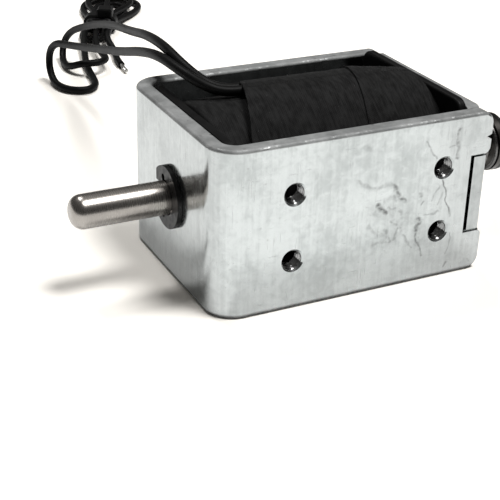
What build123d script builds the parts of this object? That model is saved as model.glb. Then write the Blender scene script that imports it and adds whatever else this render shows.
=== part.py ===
from build123d import *
import math
import os

os.makedirs("parts", exist_ok=True)

# Driving dimensions, in millimetres
# The push rod lies along X with its tip at -X, the leg with the mounting holes is at -Y, Z is up

# Frame, a strip bent to a U
frame_length = 43.5
frame_width = 32.5
frame_height = 25.0
strip = 2.5
bend_radius = 4.4
edge_round = 0.5
leg_corner_radius = 2.0

# Tapped mounting holes in the leg at -Y
hole_setback = 11.5
hole_pitch_x = 24.0
hole_pitch_z = 10.0
hole_diameter = 3.0
hole_chamfer = 0.25

# Rear plate and the leg notches that hold its tabs
plate = 2.0
plate_inset = 0.9
plate_corner_radius = 1.0
plate_bore_gap = 0.2
tab_height = 11.6
notch_front_gap = 0.6
ear_round = 1.2
nick_width = 1.0
upper_nick_height = 8.6
upper_nick_depth = 1.4
lower_nick_height = 6.2
lower_nick_depth = 0.8

# Moving core
stroke = 10.0
plunger_diameter = 10.0
plunger_past_plate = 2.0
plunger_chamfer = 0.5
rod_diameter = 5.0
rod_projection = 15.0
rod_tip_round = 1.8
rod_grip = 8.0
tail_diameter = 5.0
tail_past_clip = 1.7
tail_chamfer = 0.4
washer = 0.5
washer_margin = 0.3
washer_bore_gap = 0.1

# E-clips on the rod and on the tail
clip_diameter = 9.3
clip_thickness = 0.7
groove_diameter = 4.0
clip_band = 2.0
clip_lug_width = 1.7
clip_lug_angle = 56.0
clip_mouth = 3.3
clip_horn_reach = 3.3
clip_relief_diameter = 1.1
clip_relief_angle = 76.0

# Return spring, a cone between the rear plate and its seat on the tail
spring_wire = 0.6
spring_large_radius = 5.9
spring_small_radius = 3.9
spring_turns = 5.0
spring_solid = 2.0
seat = 1.0
seat_diameter = 9.2

# Fixed core, guide sleeve and bobbin
pole_length = 13.0
pole_spigot_diameter = 8.0
sleeve_wall = 0.45
bobbin_wall = 1.0
front_flange = 1.2
rear_flange = 1.4
flange_corner_radius = 2.0
flange_side_gap = 0.2
front_flange_dip = 0.1
rear_flange_rise = 1.0
flange_floor_gap = 0.4
flange_round = 0.4

# Winding and tapes, kept inside the frame at the sides and below and proud of it above
coil_side_gap = 0.7
coil_proud = 0.7
coil_floor_gap = 0.65
inner_tape = 0.35
coil_end_round = 0.8
outer_tape = 0.3
tape_overlap_step = 0.15
splice_bulge = 1.75
rear_end_bulge = 0.5
front_edge_x = 11.3
front_edge_skew = 18.0
seam_x = 29.0
seam_skew = 14.0

# Lead splices under the outer tape
splice_diameter = 1.6
splice_length = 10.0
splice_a_y = 3.6
splice_b_y = 1.2

# Leads, with the spare length folded in a tied hank
lead_diameter = 1.5
tip_diameter = 0.8
tip_length = 4.0
hank_heading = 63.0
hank_length = 33.0
hank_near_radius = 3.4
hank_far_radius = 8.0
hank_height = 3.6
hank_round = 1.4
tie_width = 3.5
tie_thickness = 0.8
tie_setback = 5.0
exit_run = 2.6
hank_run = 5.5
bend_share = 0.45
lead_a_across = -0.4
lead_b_across = 2.4
lead_a_tail_across = -2.8

# Clearances
seat_gap = 0.05
running_gap = 0.05
press_gap = 0.01

# Stations along the rod, counted back from the frame's front face
front_clip = -seat_gap - clip_thickness
plate_outer = frame_length - plate_inset
plate_inner = plate_outer - plate
seat_front = plate_outer + stroke + spring_solid
rear_clip = seat_front + seat
tail_end = rear_clip + clip_thickness + tail_past_clip
pole_face = strip + pole_length
washer_front = pole_face + stroke + seat_gap
plunger_front = washer_front + washer
plunger_back = plate_outer + plunger_past_plate
bobbin_front = strip + seat_gap
bobbin_back = plate_inner - seat_gap
winding_front = bobbin_front + front_flange
winding_back = bobbin_back - rear_flange

# The origin is under the middle of the rod and frame, on the surface that the frame stands on
front = (rod_projection - tail_end) / 2
axis_height = frame_height / 2
inner_width = frame_width - 2 * strip
sleeve_bore = plunger_diameter / 2 + running_gap
sleeve_radius = sleeve_bore + sleeve_wall
core_bore = sleeve_radius + seat_gap
core_radius = core_bore + bobbin_wall
inner_half_width = inner_width / 2 - coil_side_gap
inner_rise = axis_height + coil_proud
inner_drop = axis_height - coil_floor_gap
winding_half_width = inner_half_width - inner_tape
winding_rise = inner_rise - inner_tape
winding_drop = inner_drop - inner_tape
hank_middle = tie_thickness + hank_height / 2

# Routes of the leads between their straight first and last runs
lead_a_route = [
    (-14.2, 5.0, 27.2), (-15.8, 9.0, 28.8), (-15.8, 16.0, 29.6), (-14.0, 27.5, 27.8),
    (-10.2, 44.5, 23.2), (-6.0, 63.5, 18.6), (-3.2, 79.5, 14.2), (-2.2, 90.0, 10.9),
    (-2.4, 96.6, 8.6), (-3.0, 100.9, 6.6), (-3.9, 103.0, 4.0), (-4.9, 101.4, 1.3),
    (-5.8, 97.4, 0.8), (-6.0, 93.6, 1.2), (-4.1, 90.4, 2.7), (-0.8, 89.3, 2.8),
    (2.0, 91.6, 2.6), (2.7, 96.4, 2.2), (3.4, 102.6, 2.4),
]
lead_b_route = [
    (-15.2, 2.6, 27.5), (-17.2, 6.6, 28.8), (-17.6, 13.5, 29.0), (-16.2, 24.5, 26.2),
    (-13.2, 41.0, 20.9), (-10.6, 58.5, 15.9), (-9.6, 73.0, 12.0), (-9.8, 82.4, 9.8),
    (-10.4, 87.8, 8.7), (-10.9, 90.9, 6.2), (-11.3, 90.4, 2.8), (-11.5, 87.2, 0.9),
    (-11.4, 83.4, 0.8), (-9.7, 80.1, 0.8), (-6.6, 79.1, 0.8), (-4.1, 81.4, 0.8),
    (-3.2, 85.8, 0.8), (-2.2, 92.2, 0.8), (-0.4, 99.4, 1.0),
]
lead_a_tail_route = [(7.4, 101.2, 0.8), (5.8, 96.2, 0.8), (5.4, 92.0, 0.8)]
lead_b_tail_route = [(26.8, 153.0, 0.8), (29.6, 157.0, 0.8)]
hank_near = (7.5, 113.5, 0.0)


def along_x(profile, start, length):
    """Extrude a profile drawn across the rod axis, its x along Y and its y along Z."""
    return extrude(Plane.YZ.offset(front + start) * Pos(0, axis_height) * profile, length)


def ring(outer_radius, inner_radius):
    return Circle(outer_radius) - Circle(inner_radius)


def egg(half_width, rise, drop):
    """An oval section, one half ellipse above the rod axis and a flatter one below it."""
    upper = Ellipse(half_width, rise) & Pos(0, rise) * Rectangle(4 * half_width, 2 * rise)
    lower = Ellipse(half_width, drop) & Pos(0, -drop) * Rectangle(4 * half_width, 2 * drop)
    return upper + lower


def make_frame():
    reach = frame_length - strip
    outside = Pos(frame_length / 2, 0) * Rectangle(frame_length, frame_width)
    outside = fillet(outside.vertices().group_by(Axis.X)[0], bend_radius)
    inside = Pos(strip + reach / 2, 0) * Rectangle(reach, inner_width)
    inside = fillet(inside.vertices().group_by(Axis.X)[0], bend_radius - strip)
    strip_body = extrude(outside - inside, frame_height)

    # Side view: rounded rear corners, and the notch for a tab between two rounded ears
    notch_depth = frame_length - plate_inner + notch_front_gap
    notch = Rectangle(notch_depth, tab_height + 2 * seat_gap)
    side = Pos(frame_length / 2, frame_height / 2) * Rectangle(frame_length, frame_height)
    side = fillet(side.vertices().group_by(Axis.X)[-1], leg_corner_radius)
    side -= Pos(frame_length - notch_depth / 2, axis_height) * notch
    rear_points = side.vertices().group_by(Axis.X)[-1].sort_by(Axis.Y)
    side = fillet(rear_points[1:-1], ear_round)
    strip_body &= extrude(Plane.XZ * side, frame_width / 2, both=True)
    rims = strip_body.edges().group_by(Axis.Z)
    strip_body = fillet(rims[0] + rims[-1], edge_round)

    # Nicks that stake the ears over the tabs
    strip_body -= staking_nick(axis_height + upper_nick_height, upper_nick_depth)
    strip_body -= staking_nick(axis_height - lower_nick_height, lower_nick_depth)

    # Pole hole in the front and the tapped holes in the leg at -Y
    pole_hole = Cylinder(pole_spigot_diameter / 2 + press_gap, 4 * strip, rotation=(0, 90, 0))
    strip_body -= Pos(strip / 2, 0, axis_height) * pole_hole
    hole_radius = hole_diameter / 2
    bore = Cylinder(hole_radius, 2 * strip, rotation=(90, 0, 0))
    mouth = Cone(hole_radius, hole_radius + 2 * hole_chamfer, 2 * hole_chamfer, rotation=(90, 0, 0))
    pattern = Pos(hole_setback + hole_pitch_x / 2, 0, axis_height) * Rot(90, 0, 0)
    for spot in pattern * GridLocations(hole_pitch_x, hole_pitch_z, 2, 2):
        place = Pos(spot.position.X, 0, spot.position.Z)
        strip_body -= place * Pos(0, (strip - frame_width) / 2, 0) * bore
        strip_body -= place * Pos(0, -frame_width / 2, 0) * mouth
    return Pos(front, 0, 0) * strip_body


def staking_nick(height, depth):
    """A chisel mark across the rear edges of both legs."""
    half = nick_width / 2
    wedge = Polygon((0, half), (-depth, 0), (0, -half), align=None)
    return extrude(Plane.XZ * Pos(frame_length, height) * wedge, frame_width, both=True)


def make_rear_plate():
    body = RectangleRounded(inner_width - 2 * seat_gap, frame_height, plate_corner_radius)
    tabs = Rectangle(frame_width, tab_height)
    bore = Circle(plunger_diameter / 2 + plate_bore_gap)
    return along_x(body + tabs - bore, plate_inner, plate)


def make_pole_piece():
    spigot = along_x(Circle(pole_spigot_diameter / 2), 0, strip)
    core = along_x(Circle(plunger_diameter / 2), strip, pole_length)
    bore = along_x(Circle(rod_diameter / 2 + running_gap), 0, pole_face)
    return spigot + core - bore


def make_guide_sleeve():
    return along_x(ring(sleeve_radius, sleeve_bore), bobbin_front, bobbin_back - bobbin_front)


def flange_profile(top):
    bottom = flange_floor_gap - axis_height
    height = top - bottom
    outline = RectangleRounded(inner_width - 2 * flange_side_gap, height, flange_corner_radius)
    return Pos(0, bottom + height / 2) * outline


def frame_room():
    """The space inside the frame's strip, with its two rounded front corners."""
    length = frame_length - bobbin_front
    plan = Pos(length / 2, 0) * Rectangle(length, inner_width - 2 * flange_side_gap)
    plan = fillet(plan.vertices().group_by(Axis.X)[0], bend_radius - strip)
    return Pos(front + bobbin_front, 0, 0) * extrude(plan, frame_height + rear_flange_rise)


def make_bobbin():
    length = bobbin_back - bobbin_front
    core = along_x(Circle(core_radius), bobbin_front, length)
    front_end = along_x(flange_profile(axis_height - front_flange_dip), bobbin_front, front_flange)
    front_end &= frame_room()
    rear_end = along_x(flange_profile(axis_height + rear_flange_rise), winding_back, rear_flange)
    rims = rear_end.edges().group_by(Axis.X)
    rear_end = fillet(rims[0] + rims[-1], flange_round)
    return core + front_end + rear_end - along_x(Circle(core_bore), bobbin_front, length)


def make_coil_winding():
    section = egg(winding_half_width, winding_rise, winding_drop) - Circle(core_radius)
    length = winding_back - winding_front - 2 * inner_tape
    return along_x(section, winding_front + inner_tape, length)


def make_inner_tape():
    """The first wrap of tape, folded in over both ends of the winding."""
    length = winding_back - winding_front
    wrap = along_x(egg(inner_half_width, inner_rise, inner_drop), winding_front, length)
    rims = wrap.edges().group_by(Axis.X)
    wrap = fillet(rims[0] + rims[-1], coil_end_round)
    return wrap - make_coil_winding() - along_x(Circle(core_radius), winding_front, length)


def outer_egg(bulge, step):
    grown = outer_tape + step
    return egg(inner_half_width + grown, inner_rise + bulge + step, inner_drop + grown)


def skewed_slab(start, start_skew, end, end_skew):
    """A slab of the coil between two upright planes that slant across it."""
    half = frame_width / 2
    lean_start = half * math.tan(math.radians(start_skew))
    lean_end = half * math.tan(math.radians(end_skew))
    corners = [
        (start - lean_start, -half), (end - lean_end, -half),
        (end + lean_end, half), (start + lean_start, half),
    ]
    slab = extrude(Polygon(*corners, align=None), 2 * frame_height)
    return Pos(front, 0, -frame_height / 2) * slab


def make_outer_tape_front():
    section = outer_egg(splice_bulge, 0) - egg(inner_half_width, inner_rise, inner_drop)
    wrap = along_x(section, winding_front, winding_back - winding_front)
    wrap &= skewed_slab(front_edge_x, front_edge_skew, seam_x, seam_skew)
    for y in (splice_a_y, splice_b_y):
        wrap -= splice_solid(y, press_gap, exit_run)
    return wrap


def make_outer_tape_rear():
    """The last wrap, as high as the one before it at the seam and lower towards the rear."""
    start_x = seam_x - frame_width / 2
    start = Plane.YZ.offset(front + start_x) * Pos(0, axis_height)
    end = Plane.YZ.offset(front + winding_back) * Pos(0, axis_height)
    slope = (splice_bulge - rear_end_bulge) / (winding_back - seam_x)
    start_bulge = rear_end_bulge + slope * (winding_back - start_x)
    sections = [
        start * outer_egg(start_bulge, tape_overlap_step),
        end * outer_egg(rear_end_bulge, tape_overlap_step),
    ]
    wrap = loft(sections)
    wrap -= along_x(egg(inner_half_width, inner_rise, inner_drop), 0, frame_length)
    return wrap & skewed_slab(seam_x, seam_skew, winding_back, 0)


def splice_height(y):
    """Height at which a splice lies on the inner tape, a short way from the crest."""
    surface = inner_rise * math.sqrt(1 - (y / inner_half_width) ** 2)
    return axis_height + surface + splice_diameter / 2 + 2 * seat_gap


def splice_start(y):
    return front_edge_x + y * math.tan(math.radians(front_edge_skew))


def splice_solid(y, gap=0.0, lead_in=0.0):
    """A splice sleeve, or with a gap and a lead-in the hole that it and its lead need."""
    sleeve = Pos(y, splice_height(y) - axis_height) * Circle(splice_diameter / 2 + gap)
    return along_x(sleeve, splice_start(y) - lead_in, splice_length + lead_in)


def e_clip(start):
    """An E-clip whose mouth opens towards +Y."""
    outer = clip_diameter / 2
    groove = groove_diameter / 2
    band = ring(outer, outer - clip_band)
    lug_reach = outer - groove - clip_band / 2
    lug = Pos(groove + lug_reach / 2, 0) * Rectangle(lug_reach, clip_lug_width)
    for angle in (180.0, clip_lug_angle, -clip_lug_angle):
        band += Rot(0, 0, angle) * lug
    band -= Circle(groove + press_gap)
    relief = Pos(outer - clip_band + clip_relief_diameter / 4, 0) * Circle(clip_relief_diameter / 2)
    for angle in (clip_relief_angle, -clip_relief_angle):
        band -= Rot(0, 0, angle) * relief
    band -= Pos(outer / 2, 0) * Rectangle(outer, clip_mouth)
    band &= Pos(clip_horn_reach - outer, 0) * Rectangle(2 * outer, 2 * outer)
    return along_x(band, start, clip_thickness)


def clip_groove(shaft_diameter, start):
    """The groove that an E-clip sits in, with a little end play."""
    cut = ring(shaft_diameter, groove_diameter / 2)
    return along_x(cut, start - press_gap, clip_thickness + 2 * press_gap)


def make_push_rod():
    rod_length = rod_projection + plunger_front + rod_grip
    rod = along_x(Circle(rod_diameter / 2), -rod_projection, rod_length)
    rod = fillet(rod.edges().group_by(Axis.X)[0], rod_tip_round)
    return rod - clip_groove(rod_diameter, front_clip)


def make_plunger():
    body = along_x(Circle(plunger_diameter / 2), plunger_front, plunger_back - plunger_front)
    body = chamfer(body.edges().filter_by(GeomType.CIRCLE), plunger_chamfer)
    tail = along_x(Circle(tail_diameter / 2), plate_outer, tail_end - plate_outer)
    tail = chamfer(tail.edges().group_by(Axis.X)[-1], tail_chamfer)
    bore = along_x(Circle(rod_diameter / 2 + press_gap), plunger_front, rod_grip + seat_gap)
    return body + tail - bore - clip_groove(tail_diameter, rear_clip)


def make_damping_washer():
    outer = plunger_diameter / 2 - washer_margin
    return along_x(ring(outer, rod_diameter / 2 + washer_bore_gap), washer_front, washer)


def make_spring_seat():
    return along_x(ring(seat_diameter / 2, tail_diameter / 2 + running_gap), seat_front, seat)


def make_return_spring():
    first = plate_outer + spring_wire / 2 + seat_gap
    height = seat_front - plate_outer - spring_wire - 2 * seat_gap
    cone = math.degrees(math.atan((spring_small_radius - spring_large_radius) / height))
    centre = (front + first, 0, axis_height)
    coil = Helix(height / spring_turns, height, spring_large_radius, centre, (1, 0, 0), cone)
    wire = Plane(origin=coil @ 0, z_dir=coil % 0) * Circle(spring_wire / 2)
    return sweep(wire, coil, is_frenet=True)


def bend_radii(points):
    """The largest bend that the two runs beside each inner point leave room for."""
    radii = []
    for before, here, after in zip(points, points[1:], points[2:]):
        arriving = Vector(here) - Vector(before)
        leaving = Vector(after) - Vector(here)
        half_turn = math.radians(arriving.get_angle(leaving) / 2)
        radii.append(bend_share * min(arriving.length, leaving.length) / math.tan(half_turn))
    return radii


def cord_tube(name, points, diameter=lead_diameter):
    radii = bend_radii(points)
    path = FilletPolyline(*points, radius=radii)
    section = Plane(origin=path @ 0, z_dir=path % 0) * Circle(diameter / 2)
    tube = sweep(section, path)
    ideal = math.pi * diameter**2 / 4 * path.length
    print(f"{name}: length {path.length:.1f}, tightest bend {min(radii):.1f}")
    print(f"{name}: volume / ideal {tube.volume / ideal:.4f}")
    return tube


# The hank's own plane: x along the hank, away from the object
hank_plane = Plane(
    origin=hank_near,
    x_dir=(math.cos(math.radians(hank_heading)), math.sin(math.radians(hank_heading)), 0),
    z_dir=(0, 0, 1),
)


def hank_point(along, across, height):
    """A place in the hank as a point of the model."""
    return tuple(hank_plane.from_local_coords(Vector(along, across, height)))


def hank_solid(grow):
    """A bundle that widens from its tie to its loose far loops."""
    near = Circle(hank_near_radius + grow)
    far = Pos(hank_length - hank_far_radius, 0) * Circle(hank_far_radius + grow)
    outline = make_hull((near + far).edges())
    outline &= Pos(hank_length / 2, 0) * Rectangle(hank_length, 4 * hank_far_radius)
    height = hank_height + 2 * grow
    body = extrude(outline, height)
    rims = body.edges().group_by(Axis.Z)
    body = fillet(rims[0] + rims[-1], hank_round + grow)
    return hank_plane * Pos(0, 0, tie_thickness - grow) * body


def make_hank_tie():
    band = Box(tie_width, 4 * hank_far_radius, 4 * hank_height)
    band = hank_plane * Pos(tie_setback + tie_width / 2, 0, 0) * band
    return hank_solid(tie_thickness) & band


def lead_tip(tail):
    """The tinned end beyond the last point of a lead."""
    heading = (Vector(tail[-1]) - Vector(tail[-2])).normalized()
    return extrude(Plane(origin=tail[-1], z_dir=heading) * Circle(tip_diameter / 2), tip_length)


def lead_exit(y):
    """The straight run of a lead out of its splice."""
    start = front + splice_start(y)
    return [(start, y, splice_height(y)), (start - exit_run, y, splice_height(y))]


def hank_entry(across, end=0.0, outward=-1):
    """The straight run of a lead up to the near or far face of the hank, outer point first."""
    outer = hank_point(end + outward * hank_run, across, hank_middle)
    return [outer, hank_point(end, across, hank_middle)]


lead_a_points = lead_exit(splice_a_y) + lead_a_route + hank_entry(lead_a_across)
lead_b_points = lead_exit(splice_b_y) + lead_b_route + hank_entry(lead_b_across)
lead_a_tail_points = hank_entry(lead_a_tail_across)[::-1] + lead_a_tail_route
lead_b_tail_points = hank_entry(0.0, hank_length, 1)[::-1] + lead_b_tail_route
hank = hank_solid(0)

pieces = {
    "frame": make_frame(),
    "rear_plate": make_rear_plate(),
    "pole_piece": make_pole_piece(),
    "guide_sleeve": make_guide_sleeve(),
    "bobbin": make_bobbin(),
    "coil_winding": make_coil_winding(),
    "inner_tape": make_inner_tape(),
    "outer_tape_front": make_outer_tape_front(),
    "outer_tape_rear": make_outer_tape_rear(),
    "splice_a": splice_solid(splice_a_y),
    "splice_b": splice_solid(splice_b_y),
    "plunger": make_plunger(),
    "push_rod": make_push_rod(),
    "damping_washer": make_damping_washer(),
    "front_e_clip": e_clip(front_clip),
    "rear_e_clip": e_clip(rear_clip),
    "spring_seat": make_spring_seat(),
    "return_spring": make_return_spring(),
    "lead_a": cord_tube("lead_a", lead_a_points),
    "lead_b": cord_tube("lead_b", lead_b_points),
    "lead_a_tail": cord_tube("lead_a_tail", lead_a_tail_points),
    "lead_b_tail": cord_tube("lead_b_tail", lead_b_tail_points),
    "lead_a_tip": lead_tip(lead_a_tail_points),
    "lead_b_tip": lead_tip(lead_b_tail_points),
    "lead_hank": hank,
    "hank_tie": make_hank_tie() - hank,
}

for name, piece in pieces.items():
    export_step(piece, f"parts/{name}.step")
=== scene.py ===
import math

import bpy
from mathutils import Matrix, Vector, noise


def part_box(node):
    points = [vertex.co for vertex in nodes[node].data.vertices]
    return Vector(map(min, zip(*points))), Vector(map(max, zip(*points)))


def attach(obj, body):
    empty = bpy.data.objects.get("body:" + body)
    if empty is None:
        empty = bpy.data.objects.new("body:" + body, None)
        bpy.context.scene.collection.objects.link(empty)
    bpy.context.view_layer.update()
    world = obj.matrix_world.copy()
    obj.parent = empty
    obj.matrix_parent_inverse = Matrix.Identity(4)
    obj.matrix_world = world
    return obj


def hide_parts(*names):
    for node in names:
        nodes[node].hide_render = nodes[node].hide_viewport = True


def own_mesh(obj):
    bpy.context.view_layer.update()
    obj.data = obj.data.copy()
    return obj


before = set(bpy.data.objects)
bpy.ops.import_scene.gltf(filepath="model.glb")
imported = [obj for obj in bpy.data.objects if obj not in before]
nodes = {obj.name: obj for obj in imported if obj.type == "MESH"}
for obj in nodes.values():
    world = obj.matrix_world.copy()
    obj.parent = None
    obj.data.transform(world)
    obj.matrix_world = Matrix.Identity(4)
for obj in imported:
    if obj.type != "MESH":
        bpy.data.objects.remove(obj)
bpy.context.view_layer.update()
mm = 0.001

# Places on the solids, in millimetres
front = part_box("frame")[0].x / mm
near_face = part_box("frame")[0].y / mm
frame_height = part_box("frame")[1].z / mm
axis_height = frame_height / 2
rear_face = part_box("rear_plate")[1].x / mm
seat_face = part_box("spring_seat")[0].x / mm


# Camera at the photograph's place and angle
def make_camera():
    eye = Vector((-81.431, -144.599, 83.452))
    aim = Vector((-5.065, 6.659, -2.508))
    roll = math.radians(1.601)
    data = bpy.data.cameras.new("camera")
    data.sensor_width = 36.0
    data.lens = 86.16
    data.clip_start = 0.01
    camera = bpy.data.objects.new("camera", data)
    turn = (aim - eye).to_track_quat("-Z", "Y").to_matrix() @ Matrix.Rotation(roll, 3, "Z")
    camera.matrix_world = Matrix.LocRotScale(eye * mm, turn, None)
    bpy.context.collection.objects.link(camera)
    bpy.context.scene.camera = camera


make_camera()


# Leads: the routes of the solids, then the turns of the hank, in millimetres
hank_near = Vector((7.5, 113.5, 0.0))
hank_turn = math.radians(63.0)
hank_along = Vector((math.cos(hank_turn), math.sin(hank_turn), 0.0))
hank_across = Vector((-hank_along.y, hank_along.x, 0.0))


def hank_point(along, across, height):
    """A place given along, across and above the hank, as a point of the model."""
    return hank_near + hank_along * along + hank_across * across + Vector((0, 0, height))


lead_a_route = [
    (-9.03, 3.6, 26.09), (-11.63, 3.6, 26.09),
    (-14.2, 5.0, 27.2), (-15.8, 9.0, 28.8), (-15.8, 16.0, 29.6), (-14.0, 27.5, 27.8),
    (-10.2, 44.5, 23.2), (-6.0, 63.5, 18.6), (-3.2, 79.5, 14.2), (-2.2, 90.0, 10.9),
    (-2.4, 96.6, 8.6), (-3.0, 100.9, 6.6), (-3.9, 103.0, 4.0), (-4.9, 101.4, 1.3),
    (-5.8, 97.4, 0.8), (-6.0, 93.6, 1.2), (-4.1, 90.4, 2.7), (-0.8, 89.3, 2.8),
    (2.0, 91.6, 2.6), (2.7, 96.4, 2.2), (3.4, 102.6, 2.4),
]
lead_a_turns = [
    (-5.5, -0.4, 2.6), (-1.0, 0.0, 2.8), (2.5, 0.6, 2.3), (5.0, 0.8, 1.55), (9.0, 0.8, 1.55),
    (15.0, 1.7, 1.3), (21.0, 3.5, 0.9), (25.6, 3.4, 0.8), (28.0, 0.9, 0.8), (27.6, -2.2, 0.8),
    (24.6, -3.9, 0.8), (20.0, -3.3, 0.9), (15.0, -1.7, 1.3), (9.0, -0.8, 1.55), (5.0, -0.8, 1.55),
    (2.0, -1.3, 1.0), (-0.8, -1.5, 0.8), (-2.8, 0.4, 0.8), (-1.6, 3.3, 0.8), (1.6, 3.6, 0.9),
    (5.0, 2.4, 1.55), (9.0, 2.4, 1.55), (15.0, 4.2, 1.2), (22.0, 6.6, 0.8), (28.0, 6.8, 0.8),
    (32.0, 4.0, 0.8), (32.8, -0.8, 0.8), (31.2, -5.2, 0.8), (27.0, -7.2, 0.8), (21.0, -6.4, 0.8),
    (15.0, -4.3, 1.2), (9.0, -2.4, 1.55), (5.0, -2.4, 1.55), (2.0, -2.6, 2.2), (-1.0, -2.8, 2.5),
    (-5.5, -2.8, 2.3),
]
lead_a_tail = [(7.4, 101.2, 0.8), (5.8, 96.2, 0.8), (5.4, 92.0, 0.8)]
lead_b_route = [
    (-9.81, 1.2, 26.54), (-12.41, 1.2, 26.54),
    (-15.2, 2.6, 27.5), (-17.2, 6.6, 28.8), (-17.6, 13.5, 29.0), (-16.2, 24.5, 26.2),
    (-13.2, 41.0, 20.9), (-10.6, 58.5, 15.9), (-9.6, 73.0, 12.0), (-9.8, 82.4, 9.8),
    (-10.4, 87.8, 8.7), (-10.9, 90.9, 6.2), (-11.3, 90.4, 2.8), (-11.5, 87.2, 0.9),
    (-11.4, 83.4, 0.8), (-9.7, 80.1, 0.8), (-6.6, 79.1, 0.8), (-4.1, 81.4, 0.8),
    (-3.2, 85.8, 0.8), (-2.2, 92.2, 0.8), (-0.4, 99.4, 1.0),
]
lead_b_turns = [
    (-5.5, 2.4, 2.6), (-0.5, 2.3, 2.9), (2.5, 1.9, 2.95), (5.0, 1.6, 2.9), (9.0, 1.6, 2.9),
    (15.0, 2.9, 2.7), (21.0, 5.0, 2.4), (26.0, 5.6, 2.35), (30.0, 3.2, 2.35), (30.8, -0.6, 2.35),
    (28.6, -4.2, 2.35), (24.0, -5.4, 2.35), (19.0, -4.3, 2.5), (14.0, -2.6, 2.8), (9.0, -1.6, 2.9),
    (5.0, -1.6, 2.9), (2.2, -2.2, 3.9), (-0.6, -2.0, 4.4), (-2.4, 0.0, 4.5), (-0.8, 1.8, 4.5),
    (2.0, 1.0, 3.9), (5.0, 0.0, 2.9), (9.0, 0.0, 2.9), (16.0, -0.2, 2.9), (22.0, 0.4, 2.9),
    (27.0, 0.6, 3.6), (31.5, 0.2, 4.0), (35.0, 0.0, 3.0), (38.5, 0.0, 1.4),
]
lead_b_tail = [(26.8, 153.0, 0.8), (29.6, 157.0, 0.8)]
lead_diameter = 1.5


def make_cord(name, points):
    """One smooth open spline, whose thickness comes from the radius of its points."""
    curve = bpy.data.curves.new(name, "CURVE")
    curve.dimensions = "3D"
    curve.bevel_depth = 1.0
    curve.bevel_resolution = 5
    curve.resolution_u = 24
    curve.use_fill_caps = True
    spline = curve.splines.new("NURBS")
    spline.points.add(len(points) - 1)
    for point, place in zip(spline.points, points):
        point.co = (*(Vector(place) * mm), 1.0)
        point.radius = lead_diameter / 2 * mm
    spline.order_u = 3
    spline.use_endpoint_u = True
    spline.use_smooth = True
    cord = bpy.data.objects.new(name, curve)
    bpy.context.collection.objects.link(cord)
    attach(cord, "body")
    return cord


lead_a_points = lead_a_route + [hank_point(*place) for place in lead_a_turns] + lead_a_tail
lead_b_points = lead_b_route + [hank_point(*place) for place in lead_b_turns] + lead_b_tail
cord_a = make_cord("lead_a_cord", lead_a_points)
cord_b = make_cord("lead_b_cord", lead_b_points)
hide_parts("lead_a", "lead_a_tail", "lead_hank")
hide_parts("lead_b", "lead_b_tail")


# Procedural materials
class Graph:
    """A material's node tree, with short ways to add the nodes used here."""

    def __init__(self, name):
        self.material = bpy.data.materials.new(name)
        self.material.use_nodes = True
        self.tree = self.material.node_tree
        self.shader = self.tree.nodes["Principled BSDF"]

    def plug(self, socket, value):
        if isinstance(value, bpy.types.NodeSocket):
            self.tree.links.new(value, socket)
        else:
            socket.default_value = value

    def add(self, kind, inputs, output=0, **settings):
        node = self.tree.nodes.new(kind)
        for key, value in settings.items():
            setattr(node, key, value)
        for key, value in inputs.items():
            self.plug(node.inputs[key], value)
        return node.outputs[output]

    def place(self, scale=(1, 1, 1), turn=(0, 0, 0), source="Object"):
        """Coordinates in millimetres, stretched and turned."""
        coordinates = self.tree.nodes.new("ShaderNodeTexCoord").outputs[source]
        unit = 1 if source == "UV" else 1 / mm
        inputs = {"Vector": coordinates, "Rotation": turn, "Scale": tuple(unit * part for part in scale)}
        return self.add("ShaderNodeMapping", inputs)

    def noise(self, vector, scale, detail=3.0, roughness=0.55, distortion=0.0):
        inputs = {"Vector": vector, "Scale": scale, "Detail": detail}
        inputs.update({"Roughness": roughness, "Distortion": distortion})
        return self.add("ShaderNodeTexNoise", inputs)

    def math(self, operation, first, second=0.5):
        return self.add("ShaderNodeMath", {0: first, 1: second}, operation=operation)

    def total(self, *terms):
        """The sum of values, each with its weight."""
        result = 0.0
        for value, weight in terms:
            result = self.add("ShaderNodeMath", {0: value, 1: weight, 2: result}, operation="MULTIPLY_ADD")
        return result

    def ramp(self, value, low, high, start=0.0, end=1.0):
        """A smooth step from one number to another while the value goes from low to high."""
        inputs = {"Value": value, "From Min": low, "From Max": high, "To Min": start, "To Max": end}
        return self.add("ShaderNodeMapRange", inputs, interpolation_type="SMOOTHSTEP")

    def blend(self, factor, first, second):
        node = self.tree.nodes.new("ShaderNodeMix")
        node.data_type = "RGBA"
        for key, value in ((0, factor), (6, first), (7, second)):
            self.plug(node.inputs[key], value)
        return node.outputs[2]

    def bump(self, height, depth, strength=1.0):
        """Relief of a depth in millimetres."""
        inputs = {"Height": height, "Distance": depth * mm, "Strength": strength}
        self.plug(self.shader.inputs["Normal"], self.add("ShaderNodeBump", inputs))

    def set(self, **inputs):
        for key, value in inputs.items():
            self.plug(self.shader.inputs[key.replace("_", " ")], value)


def grey(level, warmth=0.0):
    return (level * (1 + warmth), level, level * (1 - warmth), 1.0)


def stroke(graph, vector, start, end, width):
    """A soft line on the leg with the holes, between two points given in X and Z."""
    begin = Vector((start[0], near_face, start[1]))
    run = Vector((end[0], near_face, end[1])) - begin
    offset = graph.add("ShaderNodeVectorMath", {0: vector, 1: begin}, operation="SUBTRACT")
    along = graph.add("ShaderNodeVectorMath", {0: offset, 1: run}, 1, operation="DOT_PRODUCT")
    inputs = {0: along, 1: 1 / run.length_squared}
    share = graph.add("ShaderNodeMath", inputs, operation="MULTIPLY", use_clamp=True)
    nearest = graph.add("ShaderNodeVectorMath", {0: run, "Scale": share}, operation="SCALE")
    distance = graph.add("ShaderNodeVectorMath", {0: offset, 1: nearest}, 1, operation="DISTANCE")
    return graph.ramp(distance, width, 0.0)


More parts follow.
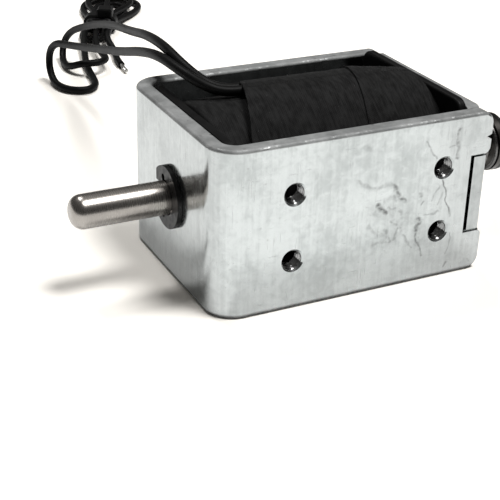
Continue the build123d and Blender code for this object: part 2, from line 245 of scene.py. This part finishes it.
# Smudges and scratches on the leg with the holes: darkness, width and points in X and Z
marks = [
    (0.35, 0.6, ((0.0, 17.8), (1.0, 16.8), (1.9, 16.5), (3.9, 16.3), (5.1, 16.1), (6.1, 15.3))),
    (0.75, 0.6, ((5.6, 15.8), (6.1, 15.2), (6.8, 14.3), (7.5, 13.4))),
    (0.85, 0.7, ((3.1, 13.5), (4.0, 12.7), (4.8, 12.0))),
    (0.35, 0.6, ((4.2, 13.9), (5.4, 14.4), (6.9, 13.8))),
    (0.4, 0.6, ((5.2, 12.9), (6.5, 12.1), (7.5, 11.8))),
    (0.45, 0.6, ((5.7, 10.6), (6.8, 9.6), (7.5, 8.9))),
    (0.5, 0.6, ((4.6, 9.2), (5.7, 7.6), (6.6, 8.2), (7.1, 9.3))),
    (0.3, 0.6, ((3.0, 7.6), (4.7, 7.4), (6.0, 7.5))),
    (0.3, 0.5, ((1.9, 10.6), (3.1, 9.4), (4.7, 8.2))),
    (0.8, 0.7, ((10.3, 10.0), (10.5, 9.3), (10.0, 8.1))),
    (0.7, 0.4, ((10.0, 8.1), (10.3, 6.8), (10.9, 6.4), (11.3, 4.3))),
    (0.35, 0.3, ((7.6, 8.1), (9.6, 5.9))),
    (0.4, 0.24, ((11.4, 10.6), (13.7, 10.7))),
    (0.85, 0.24, ((14.0, 15.6), (14.6, 13.4), (15.2, 11.4), (15.6, 10.0), (15.7, 9.4))),
    (0.6, 0.24, ((16.1, 6.9), (16.1, 5.0), (15.8, 3.2))),
    (0.7, 0.3, ((16.4, 2.0), (15.8, 1.1))),
    (0.5, 0.26, ((10.6, 22.0), (11.6, 20.4), (12.3, 19.2))),
    (0.65, 0.4, ((16.0, 23.0), (16.0, 20.1), (15.9, 18.5))),
    (0.55, 0.3, ((14.8, 20.7), (16.1, 20.7))),
    (0.35, 0.22, ((13.5, 14.9), (12.7, 12.8))),
    (0.35, 0.22, ((14.0, 13.5), (13.6, 11.6))),
    (0.6, 0.35, ((11.1, 12.8), (10.7, 12.4))),
    (0.5, 0.45, ((10.1, 14.1), (10.3, 13.7))),
    (0.3, 0.7, ((0.6, 22.7), (1.0, 22.2))),
    (0.6, 0.35, ((20.1, 1.8), (20.5, 1.4))),
    (0.24, 2.2, ((2.4, 13.0), (5.4, 12.4), (7.4, 9.4), (5.6, 7.6))),
    (0.22, 1.8, ((8.2, 10.8), (10.2, 9.2), (10.8, 6.6))),
    (0.16, 1.2, ((15.8, 22.4), (15.4, 19.6))),
]


def handling_marks(graph, vector):
    """The darkness of the marks, which waver a little and are thinned in places."""
    waver = graph.add("ShaderNodeTexNoise", {"Vector": vector, "Scale": 0.6, "Detail": 1.0}, 1)
    shift = graph.add("ShaderNodeVectorMath", {0: waver, 1: (0.5, 0.5, 0.5)}, operation="SUBTRACT")
    inputs = {0: shift, 1: (1.5, 0.0, 1.5), 2: vector}
    bent = graph.add("ShaderNodeVectorMath", inputs, operation="MULTIPLY_ADD")
    stain = 0.0
    for darkness, width, points in marks:
        for start, end in zip(points, points[1:]):
            line = graph.math("MULTIPLY", stroke(graph, bent, start, end, width), darkness)
            stain = graph.math("MAXIMUM", stain, line)
    thinned = graph.ramp(graph.noise(vector, 1.6, 3.0), 0.32, 0.6, 0.35, 1.0)
    return graph.math("MULTIPLY", stain, thinned)


def hairlines(graph, vector):
    """Fine scratches in two directions, where a coarse noise lets them show."""
    upright = graph.noise(graph.place((5.0, 5.0, 0.22), (0.0, 0.35, 0.0)), 1.0, 2.0)
    lying = graph.noise(graph.place((0.3, 5.0, 5.0), (0.0, 0.6, 0.3)), 1.0, 2.0)
    hair = graph.math("MAXIMUM", graph.ramp(upright, 0.66, 0.72), graph.ramp(lying, 0.67, 0.73))
    patchy = graph.ramp(graph.noise(vector, 0.2, 2.0), 0.45, 0.6)
    return graph.math("MULTIPLY", hair, patchy)


def zinc(name, tone=1.0, marked=False):
    """Bright zinc plate: cloudy, with upright rolling streaks, fine scratches and handling marks."""
    graph = Graph(name)
    vector = graph.place()
    cloud = graph.noise(vector, 0.11, 4.0, 0.6)
    mottle = graph.noise(vector, 0.75, 4.0, 0.6, 0.6)
    streak = graph.noise(graph.place((1.6, 1.6, 0.07)), 1.0, 3.0)
    grain = graph.noise(vector, 9.0, 2.0)
    shade = graph.total((cloud, 0.42), (mottle, 0.36), (streak, 0.22))
    dull = (0.55 * tone, 0.58 * tone, 0.575 * tone, 1.0)
    bright = (0.765 * tone, 0.8 * tone, 0.795 * tone, 1.0)
    colour = graph.blend(graph.ramp(shade, 0.37, 0.61), dull, bright)
    hair = hairlines(graph, vector)
    colour = graph.blend(graph.math("MULTIPLY", hair, 0.28), colour, grey(0.30 * tone))
    specks = graph.ramp(graph.noise(vector, 1.7, 2.0), 0.70, 0.78)
    colour = graph.blend(graph.math("MULTIPLY", specks, 0.35), colour, grey(0.32 * tone, 0.03))
    if marked:
        colour = graph.blend(handling_marks(graph, vector), colour, grey(0.09))

    # Painted shade over the front plate and towards the floor; duller towards the rear from dense fine
    # scratches
    length = graph.add("ShaderNodeSeparateXYZ", {0: vector}, 0)
    height = graph.add("ShaderNodeSeparateXYZ", {0: vector}, 2)
    # Painted shade on the front plate, joined with the rear wear below
    front_end = graph.ramp(length, front + 2.0, front + 0.1)
    front_shade_and_rear_wear = graph.math("MAXIMUM", front_end, graph.ramp(length, 8.0, 18.0))
    colour = graph.blend(graph.math("MULTIPLY", front_shade_and_rear_wear, 0.25), colour, grey(0.4 * tone))
    # Painted shade: darker below 9 mm, towards the floor
    painted_low_shade = graph.math("MULTIPLY", graph.ramp(height, 9.0, 1.0), 0.3)
    colour = graph.blend(painted_low_shade, colour, grey(0.36 * tone, 0.02))

    # Sheared rims: rougher and greyer than the faces, with painted contact shade along the floor
    foot = graph.ramp(height, 0.75, 0.3)
    top = graph.ramp(height, frame_height - 0.6, frame_height - 0.3)
    rim = graph.math("MAXIMUM", top, foot)
    sheared = graph.blend(graph.ramp(graph.noise(vector, 0.3, 3.0), 0.36, 0.64), grey(0.25), grey(0.42))
    colour = graph.blend(graph.math("MULTIPLY", rim, 0.75), colour, sheared)
    # Painted contact shade: the foot rim is darkened where it meets the floor
    colour = graph.blend(graph.math("MULTIPLY", foot, 0.6), colour, grey(0.16 * tone))
    torn = graph.ramp(graph.noise(vector, 0.9, 4.0, 0.7), 0.5, 0.68, 0.78, 0.46)
    roughness = graph.ramp(graph.math("ADD", mottle, hair), 0.35, 0.9, 0.15, 0.33)
    roughness = graph.math("MAXIMUM", roughness, graph.math("MULTIPLY", rim, torn))
    graph.set(Base_Color=colour, Roughness=roughness, Metallic=1.0)
    burr = graph.math("MULTIPLY", rim, graph.noise(graph.place((1.0, 1.0, 0.3)), 3.2, 3.0, 0.65))
    graph.bump(graph.total((grain, 0.4), (mottle, 0.6), (burr, 14.0)), 0.006, 0.4)
    return graph.material


def turned_steel(name, level, low, high, warmth=0.02, relief=0.6):
    """Steel with fine marks around its axis."""
    graph = Graph(name)
    vector = graph.place()
    rings = graph.noise(graph.place((14.0, 0.25, 0.25)), 1.0, 3.0)
    cloud = graph.noise(vector, 0.35, 3.0)
    scuff = graph.ramp(graph.noise(graph.place((0.5, 4.0, 4.0)), 1.0, 2.0), 0.64, 0.74)
    colour = graph.blend(graph.ramp(cloud, 0.35, 0.65), grey(0.86 * level, warmth), grey(level, warmth))
    colour = graph.blend(graph.math("MULTIPLY", scuff, 0.2), colour, grey(0.5 * level, warmth))
    roughness = graph.ramp(graph.math("ADD", rings, scuff), 0.3, 1.2, low, high)
    graph.set(Base_Color=colour, Roughness=roughness, Metallic=1.0)
    graph.bump(rings, 0.002, relief)
    return graph.material


def black_oxide(name):
    """Blackened steel, worn through in specks."""
    graph = Graph(name)
    vector = graph.place()
    cloud = graph.noise(vector, 1.3, 4.0)
    wear = graph.ramp(graph.noise(vector, 3.6, 3.0), 0.60, 0.74)
    colour = graph.blend(graph.math("MULTIPLY", wear, 0.35), grey(0.022), grey(0.16, 0.04))
    graph.set(Base_Color=colour, Roughness=graph.ramp(cloud, 0.3, 0.7, 0.26, 0.46), Metallic=0.75)
    graph.bump(graph.noise(vector, 7.0, 2.0), 0.006, 0.6)
    return graph.material


def cloth_tape(name):
    """Woven cloth tape, its warp running around the coil."""
    warp_pitch = 0.34
    weft_pitch = 0.42
    graph = Graph(name)
    flat = graph.place(source="UV")
    parts = graph.tree.nodes.new("ShaderNodeSeparateXYZ")
    graph.plug(parts.inputs[0], flat)
    warp = graph.math("SINE", graph.math("MULTIPLY", parts.outputs[1], 2 * math.pi / warp_pitch))
    weft = graph.math("SINE", graph.math("MULTIPLY", parts.outputs[0], 2 * math.pi / weft_pitch))
    weave = graph.math("MULTIPLY", warp, weft)
    yarn = graph.noise(graph.place((0.22, 3.0, 1.0), source="UV"), 1.0, 3.0)
    cloud = graph.noise(flat, 0.35, 3.0)
    patch = graph.noise(graph.place((0.5, 1.3, 1.0), source="UV"), 1.0, 3.0, 0.65)
    level = graph.total((weave, 0.16), (yarn, 1.0), (cloud, 0.5), (patch, 0.9))
    colour = graph.blend(graph.ramp(level, 0.85, 1.5), grey(0.002), grey(0.024))
    lint = graph.ramp(graph.noise(graph.place((1.0, 1.6, 1.0), source="UV"), 2.3, 2.0), 0.70, 0.76)
    colour = graph.blend(graph.math("MULTIPLY", lint, 0.5), colour, grey(0.13))
    graph.set(Base_Color=colour, Roughness=graph.ramp(yarn, 0.3, 0.7, 0.66, 0.88))
    graph.set(Specular_IOR_Level=0.1, Sheen_Weight=0.02, Sheen_Roughness=0.5)
    graph.bump(graph.total((weave, 0.6), (yarn, 1.8)), 0.04, 0.8)
    return graph.material


def plastic(name, level, low, high, grain, depth):
    """Black plastic with a faint flow pattern and grain."""
    graph = Graph(name)
    vector = graph.place()
    cloud = graph.noise(vector, 0.5, 3.0)
    dust = graph.ramp(graph.noise(vector, 2.6, 3.0), 0.66, 0.8)
    colour = graph.blend(graph.ramp(cloud, 0.3, 0.7), grey(0.8 * level), grey(1.25 * level))
    colour = graph.blend(graph.math("MULTIPLY", dust, 0.3), colour, grey(5 * level, 0.04))
    graph.set(Base_Color=colour, Roughness=graph.ramp(cloud, 0.3, 0.7, low, high), Specular_IOR_Level=0.13)
    graph.bump(graph.noise(vector, grain, 3.0), depth, 0.6)
    return graph.material


def winding_wire(name):
    """Enamelled copper turns lying side by side."""
    graph = Graph(name)
    turns = graph.add("ShaderNodeTexWave", {"Vector": graph.place(), "Scale": 0.9, "Distortion": 0.4})
    colour = graph.blend(turns, (0.28, 0.09, 0.035, 1), (0.62, 0.24, 0.09, 1))
    graph.set(Base_Color=colour, Roughness=0.32, Metallic=0.8)
    graph.bump(turns, 0.08)
    return graph.material


def drawn_metal(name, colour, roughness):
    """Tube or wire with marks along its length."""
    graph = Graph(name)
    lines = graph.noise(graph.place((0.4, 6.0, 6.0)), 1.0, 3.0)
    dark = tuple(0.75 * part for part in colour[:3]) + (1.0,)
    graph.set(Base_Color=graph.blend(graph.ramp(lines, 0.35, 0.65), dark, colour))
    graph.set(Roughness=graph.ramp(lines, 0.3, 0.7, 0.8 * roughness, 1.2 * roughness), Metallic=1.0)
    graph.bump(lines, 0.004, 0.5)
    return graph.material


frame_zinc = zinc("frame_zinc", marked=True)
plate_zinc = zinc("plate_zinc", 0.88)
rod_steel = turned_steel("rod_steel", 0.46, 0.27, 0.3, 0.07, 0.04)
core_steel = turned_steel("core_steel", 0.5, 0.2, 0.36)
clip_black = black_oxide("clip_black")
seat_steel = turned_steel("seat_steel", 0.1, 0.3, 0.45, 0.06)
thread_steel = turned_steel("thread_steel", 0.42, 0.14, 0.24, 0.0)
tape_cloth = cloth_tape("tape_cloth")
nylon = plastic("nylon", 0.006, 0.42, 0.58, 4.0, 0.012)
jacket = plastic("jacket", 0.004, 0.48, 0.51, 4.0, 0.003)
tie_strap = plastic("tie_strap", 0.006, 0.4, 0.55, 3.0, 0.012)
rubber = plastic("rubber", 0.03, 0.7, 0.9, 5.0, 0.02)
copper = winding_wire("copper")
brass = drawn_metal("brass", (0.72, 0.5, 0.2, 1), 0.3)
spring_wire = drawn_metal("spring_wire", (0.2, 0.195, 0.19, 1), 0.3)
tinned = drawn_metal("tinned", (0.74, 0.73, 0.70, 1), 0.25)

cad_materials = {
    "frame": frame_zinc, "rear_plate": plate_zinc, "pole_piece": core_steel, "guide_sleeve": brass,
    "bobbin": nylon, "coil_winding": copper, "splice_a": jacket, "splice_b": jacket,
    "plunger": core_steel, "push_rod": rod_steel, "damping_washer": rubber,
    "front_e_clip": clip_black, "rear_e_clip": clip_black, "spring_seat": seat_steel,
}
for node, material in cad_materials.items():
    nodes[node].data.materials.clear()
    nodes[node].data.materials.append(material)
for cord in (cord_a, cord_b):
    cord.data.materials.append(jacket)


# Mesh pieces
def make_piece(name, verts, faces, material, uvs=None, sharp=40.0):
    """A mesh in millimetres that rides on the fixed body."""
    mesh = bpy.data.meshes.new(name)
    mesh.from_pydata([Vector(place) * mm for place in verts], [], faces)
    mesh.validate()
    if uvs:
        layer = mesh.uv_layers.new(name="wrap")
        for loop in mesh.loops:
            layer.data[loop.index].uv = uvs[loop.vertex_index]
    mesh.shade_smooth()
    mesh.set_sharp_from_angle(angle=math.radians(sharp))
    mesh.materials.append(material)
    piece = bpy.data.objects.new(name, mesh)
    bpy.context.collection.objects.link(piece)
    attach(piece, "body")
    return piece


def band_faces(rows, count, loop=False):
    """Faces between closed rows of points; a loop joins the last row to the first as well."""
    faces = []
    for row in range(rows if loop else rows - 1):
        here = row * count
        there = (row + 1) % rows * count
        for step in range(count):
            follow = (step + 1) % count
            faces.append((here + step, here + follow, there + follow, there + step))
    return faces


def tube(points, radius, sides):
    """A closed tube along points, as its corners and faces."""
    verts = []
    normal = (Vector(points[1]) - Vector(points[0])).orthogonal().normalized()
    for index, place in enumerate(points):
        before = Vector(points[max(index - 1, 0)])
        after = Vector(points[min(index + 1, len(points) - 1)])
        heading = (after - before).normalized()
        normal = (normal - heading * normal.dot(heading)).normalized()
        side = heading.cross(normal)
        for step in range(sides):
            angle = 2 * math.pi * step / sides
            verts.append(Vector(place) + radius * (math.cos(angle) * normal + math.sin(angle) * side))
    faces = band_faces(len(points), sides)
    faces.append(tuple(reversed(range(sides))))
    faces.append(tuple(range(len(verts) - sides, len(verts))))
    return verts, faces


# Coil tapes, from the same sizes as the solids, with places along the coil counted from the front face
inner_half_width = 13.05
inner_rise = 13.2
inner_drop = 11.85
tape = 0.3
lining = 0.02
overlap = 0.15
winding_front = 3.75
winding_back = 39.15
front_edge = (11.3, math.tan(math.radians(18.0)))
seam = (29.0, math.tan(math.radians(14.0)))
splice_bulge = 1.75
rear_end_bulge = 0.5
lead_places = (3.6, 1.2)
ridge_length = 11.0
ridge_width = 0.85
fold_rate_along = 0.55
fold_rate_around = 0.16
ragged_rate = 1.3
ragged_size = 0.07
around = 220
wrap_steps = 46


def egg_point(share, grown, bulge):
    """A place around the coil's section, across and above the rod axis."""
    angle = 2 * math.pi * share
    across = (inner_half_width + grown) * math.sin(angle)
    rise = inner_rise + max(grown, bulge + grown - tape)
    above = (rise if math.cos(angle) > 0 else inner_drop + grown) * math.cos(angle)
    return across, above


def tape_shell(name, rows, inner_rows, node):
    """A wrap of tape: its outer rows of points, then its inner rows back to the start."""
    verts = []
    uvs = []
    for row in rows + inner_rows:
        length = 0.0
        for step, place in enumerate(row):
            if step:
                length += (place - row[step - 1]).length
            verts.append(place)
            uvs.append((length, place.x))
    faces = band_faces(len(rows) + len(inner_rows), around, loop=True)
    piece = make_piece(name, verts, faces, tape_cloth, uvs, sharp=50.0)
    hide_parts(node)


def crease(place, seed, size):
    """Small folds of the cloth, longer around the coil than along it."""
    spot = Vector((fold_rate_along * place.x + seed, fold_rate_around * place.y, fold_rate_around * place.z))
    return size * noise.noise(spot)


def wrap_row(start, end, share, grown, bulge, seed, fold, ridge=0.0):
    """One row of a wrap between two slanted edges, a share of the way along."""
    row = []
    for step in range(around):
        across, above = egg_point(step / around, grown, bulge)
        begin = start[0] + across * start[1]
        finish = end[0] + across * end[1]
        ragged = ragged_size * noise.noise(Vector((ragged_rate * across + seed, ragged_rate * above, 0.0)))
        along = begin + share * (finish - begin) + ragged
        place = Vector((front + along, across, axis_height + above))
        outward = Vector((0.0, across, above)).normalized()
        lift = crease(place, seed, fold)
        if ridge and above > 0:
            fade = max(0.0, 1 - (along - begin) / ridge_length)
            swell = sum(math.exp(-((across - spot) / ridge_width) ** 2) for spot in lead_places)
            lift += ridge * fade * swell
        row.append(place + outward * lift)
    return row


def make_front_wrap():
    """The wrap over the leads, which press ridges into it."""
    seed = 3.0
    fold = 0.07
    ridge = 0.16
    rows = []
    for step in range(wrap_steps + 1):
        share = step / wrap_steps
        rows.append(wrap_row(front_edge, seam, share, tape, splice_bulge, seed, fold, ridge))
    inner = [wrap_row(front_edge, seam, share, lining, splice_bulge, seed, 0.0) for share in (1, 0)]
    tape_shell("outer_tape_front_wrap", rows, inner, "outer_tape_front")


def make_rear_wrap():
    """The last wrap, which laps over the front wrap at the seam and falls towards the rear."""
    seed = 9.0
    fold = 0.08
    lap = 0.05
    start = (seam[0] - lap, seam[1])
    end = (winding_back, 0.0)
    rows = []
    inner = []
    for step in range(wrap_steps + 1):
        share = step / wrap_steps
        bulge = splice_bulge + overlap + share * (rear_end_bulge - splice_bulge)
        rows.append(wrap_row(start, end, share, tape + overlap, bulge, seed, fold))
        if step in (0, wrap_steps):
            inner.insert(0, wrap_row(start, end, share, overlap + lining, bulge, seed, 0.0))
    tape_shell("outer_tape_rear_wrap", rows, inner, "outer_tape_rear")


def make_inner_tape():
    """The first wrap, rounded over both ends of the winding and folded in to the core."""
    round_over = 0.8
    core = 7.2
    seed = 17.0
    fold = 0.06
    depth = 0.32
    corner_steps = 5
    steps = 40
    folded_in = core - inner_half_width
    front_corner = [(winding_front, folded_in)]
    for step in range(corner_steps + 1):
        angle = math.pi / 2 * step / corner_steps
        along = winding_front + round_over * (1 - math.cos(angle))
        front_corner.append((along, -round_over * (1 - math.sin(angle))))
    length = winding_back - winding_front - 2 * round_over
    middle = [(winding_front + round_over + length * step / steps, 0.0) for step in range(1, steps)]
    rear_corner = [(winding_front + winding_back - along, grown) for along, grown in reversed(front_corner)]

    def row(along, grown, size):
        points = []
        for step in range(around):
            across, above = egg_point(step / around, grown, 0.0)
            place = Vector((front + along, across, axis_height + above))
            outward = Vector((0.0, across, above)).normalized()
            points.append(place + outward * crease(place, seed, size))
        return points

    stations = front_corner + middle + rear_corner
    rows = [row(along, grown, 0.0 if grown else fold) for along, grown in stations]
    rear_end = winding_back - depth
    front_end = winding_front + depth
    inner = [row(rear_end, folded_in, 0.0), row(rear_end, -depth, 0.0)]
    inner += [row(front_end, -depth, 0.0), row(front_end, folded_in, 0.0)]
    tape_shell("inner_tape_wrap", rows, inner, "inner_tape")


make_inner_tape()
make_front_wrap()
make_rear_wrap()


# Screw threads in the four mounting holes, which run out towards both ends of the bore
hole_columns = (-10.0, 14.0)
hole_rows = (7.5, 17.5)


def thread_rings():
    """One hole's sleeve: its rings of points about the hole's middle, with the thread on its inner side."""
    pitch = 0.5
    outer = 1.497
    wall = 0.01
    depth = 0.24
    run_out = 0.7 * pitch
    mouth = near_face + 0.28
    back = near_face + 2.47
    sides = 48
    steps = 60
    levels = [mouth + (back - mouth) * step / steps for step in range(steps + 1)]
    rings = []
    for y, threaded in [(mouth, False)] + [(level, True) for level in levels] + [(back, False)]:
        ring = []
        for step in range(sides):
            turn = step / sides
            radius = outer
            if threaded:
                phase = (y / pitch - turn) % 1.0
                share = max(0.0, min(1.0, (y - mouth) / run_out, (back - y) / run_out))
                radius -= wall + depth * share * (1 - abs(2 * phase - 1))
            angle = 2 * math.pi * turn
            ring.append((radius * math.cos(angle), y, radius * math.sin(angle)))
        rings.append(ring)
    return rings


def make_threads():
    rings = thread_rings()
    verts = []
    faces = []
    for hole_x in hole_columns:
        for hole_z in hole_rows:
            base = len(verts)
            verts += [(hole_x + x, y, hole_z + z) for ring in rings for x, y, z in ring]
            found = band_faces(len(rings), len(rings[0]), loop=True)
            faces += [tuple(base + index for index in face) for face in found]
    make_piece("hole_threads", verts, faces, thread_steel, sharp=60.0)


make_threads()


# Return spring: a cone of wire with its end turns laid flat
def make_spring():
    wire = 0.3
    gap = 0.06
    first = rear_face + wire + gap
    last = seat_face - wire - gap
    large = 5.9
    small = 3.9
    turns = 5.4
    flat = 0.75
    ease = 0.35
    per_turn = 40
    total = int(turns * per_turn)
    points = []
    for step in range(total + 1):
        turn = step / per_turn
        climb = min(1.0, max(0.0, (turn - flat) / (turns - 2 * flat)))
        climb = ease * climb * climb * (3 - 2 * climb) + (1 - ease) * climb
        along = first + (last - first) * climb
        radius = large + (small - large) * turn / turns
        angle = 2 * math.pi * turn
        points.append((along, radius * math.sin(angle), axis_height + radius * math.cos(angle)))
    verts, faces = tube(points, wire, sides=12)
    spring = make_piece("return_spring_wire", verts, faces, spring_wire)
    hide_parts("return_spring")
    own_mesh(spring)


make_spring()


# Tinned ends: six strands twisted about a seventh
def make_tip(name, start, before, node):
    heading = (Vector(start) - Vector(before)).normalized()
    side = heading.orthogonal().normalized()
    other = heading.cross(side)
    length = 4.0
    strand = 0.13
    ring = 0.262
    outer = 6
    lay = 3.2
    splay_from = 3.4
    splay_rate = 0.25
    steps = 26
    verts = []
    faces = []
    for count in range(outer + 1):
        points = []
        reach = ring if count < outer else 0.0
        for step in range(steps + 1):
            along = length * step / steps
            angle = 2 * math.pi * (along / lay + count / outer)
            splay = 1.0 + splay_rate * max(0.0, along - splay_from)
            aside = reach * splay * (math.cos(angle) * side + math.sin(angle) * other)
            points.append(Vector(start) + heading * along + aside)
        found, sheet = tube(points, strand, sides=8)
        faces += [tuple(len(verts) + index for index in face) for face in sheet]
        verts += found
    tip = make_piece(name, verts, faces, tinned)
    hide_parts(node)
    return tip


tip_a = make_tip("lead_a_strands", lead_a_tail[-1], lead_a_tail[-2], "lead_a_tip")
tip_b = make_tip("lead_b_strands", lead_b_tail[-1], lead_b_tail[-2], "lead_b_tip")


# Tie around the hank: a strap with bevelled edges, and its lock, a bevelled block on the strap's upper side
tie_begin = 5.0
tie_width = 3.5
tie_thick = 0.62
tie_high = 3.75


def tie_strap_shape():
    half_loop = 3.25
    tie_low = 0.72
    corner = 1.3
    corner_steps = 8
    bevel = 0.25
    edge = 0.45 * tie_thick
    aside = half_loop - corner
    upper = tie_high - corner
    lower = tie_low + corner
    section = [
        (0.0, 0.0), (tie_width, 0.0), (tie_width, edge),
        (tie_width - bevel, tie_thick), (bevel, tie_thick), (0.0, edge),
    ]
    verts = []
    centres = [(aside, upper), (-aside, upper), (-aside, lower), (aside, lower)]
    for quarter, (across, height) in enumerate(centres):
        for step in range(corner_steps + 1):
            angle = math.pi / 2 * (quarter + step / corner_steps)
            for along, lift in section:
                out_across = (corner + lift) * math.cos(angle)
                out_up = (corner + lift) * math.sin(angle)
                verts.append(hank_point(tie_begin + along, across + out_across, height + out_up))
    return verts, band_faces(len(verts) // len(section), len(section), loop=True)


def tie_lock_shape():
    half = 1.775
    tall = 1.9
    bevel = 0.35
    shoulder = 1.5
    end = 0.2
    end_scale = 0.86
    centre = -1.125
    sunk = 0.32
    foot = tie_high + tie_thick - sunk
    section = [
        (-half, 0.0), (-half, shoulder), (bevel - half, tall),
        (half - bevel, tall), (half, shoulder), (half, 0.0),
    ]
    stations = [(-end, end_scale), (0.0, 1.0), (tie_width, 1.0), (tie_width + end, end_scale)]
    verts = []
    for along, scale in stations:
        for across, lift in section:
            verts.append(hank_point(tie_begin + along, centre + across * scale, foot + lift * scale))
    faces = band_faces(len(stations), len(section))
    faces.append(tuple(reversed(range(len(section)))))
    faces.append(tuple(range(len(verts) - len(section), len(verts))))
    return verts, faces


def make_tie():
    verts, faces = tie_strap_shape()
    lock_verts, lock_faces = tie_lock_shape()
    faces += [tuple(len(verts) + index for index in face) for face in lock_faces]
    verts += lock_verts
    tie = make_piece("hank_tie_strap", verts, faces, tie_strap, sharp=30.0)
    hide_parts("hank_tie")
    return tie


tie = make_tie()


# Floor: white to the eye and in reflections, a plain pale surface to the light
def make_floor():
    reach = 8.0
    below = 0.05
    corners = [(-reach, -reach, 0), (reach, -reach, 0), (reach, reach, 0), (-reach, reach, 0)]
    mesh = bpy.data.meshes.new("floor")
    mesh.from_pydata(corners, [], [(0, 1, 2, 3)])
    floor = bpy.data.objects.new("floor", mesh)
    floor.location.z = -below * mm
    bpy.context.collection.objects.link(floor)
    graph = Graph("floor")
    path = graph.tree.nodes.new("ShaderNodeLightPath").outputs
    seen = graph.math("MAXIMUM", path["Is Camera Ray"], path["Is Glossy Ray"])
    seen = graph.math("MAXIMUM", seen, path["Is Transmission Ray"])
    colour = graph.blend(seen, (0.72, 0.71, 0.69, 1), (1.1, 1.1, 1.09, 1))
    colour = graph.blend(path["Is Camera Ray"], colour, (1.45, 1.4, 1.32, 1))
    graph.set(Base_Color=colour, Roughness=1.0, Specular_IOR_Level=0.0)
    mesh.materials.append(graph.material)


# Light: a key almost overhead, a weaker lamp above and behind, and a dim room
def make_lamp(name, toward, size, energy):
    """A round lamp far enough away to light the floor evenly."""
    away = 4.0
    data = bpy.data.lights.new(name, "AREA")
    data.shape = "DISK"
    data.size = size
    data.energy = energy
    data.color = (1.0, 0.998, 0.992)
    lamp = bpy.data.objects.new(name, data)
    heading = Vector(toward).normalized()
    lamp.location = heading * away
    lamp.rotation_euler = heading.to_track_quat("Z", "Y").to_euler()
    bpy.context.collection.objects.link(lamp)


def make_world():
    """A room that is dim towards the horizon, most of all in front, and paler overhead and behind."""
    world = bpy.data.worlds.new("world")
    world.use_nodes = True
    tree = world.node_tree
    parts = tree.nodes.new("ShaderNodeSeparateXYZ")
    tree.links.new(tree.nodes.new("ShaderNodeTexCoord").outputs["Generated"], parts.inputs[0])
    total = tree.nodes.new("ShaderNodeMath")
    steps = (("Z", (0.1, 0.9, 0.04, 0.09)), ("Y", (-0.2, 0.8, 0.0, 0.04)))
    for socket, (part, values) in zip(total.inputs, steps):
        level = tree.nodes.new("ShaderNodeMapRange")
        level.interpolation_type = "SMOOTHSTEP"
        tree.links.new(parts.outputs[part], level.inputs["Value"])
        for setting, value in zip(("From Min", "From Max", "To Min", "To Max"), values):
            level.inputs[setting].default_value = value
        tree.links.new(level.outputs[0], socket)
    background = tree.nodes["Background"]
    background.inputs["Color"].default_value = (1.0, 0.985, 0.96, 1)
    tree.links.new(total.outputs[0], background.inputs["Strength"])
    bpy.context.scene.world = world


make_floor()
make_lamp("key", (0.26, -0.2, 0.94), 1.4, 108.0)
make_lamp("back_light", (-0.05, 0.49, 0.87), 0.85, 44.4)
make_world()
bpy.context.scene.view_settings.view_transform = "Standard"
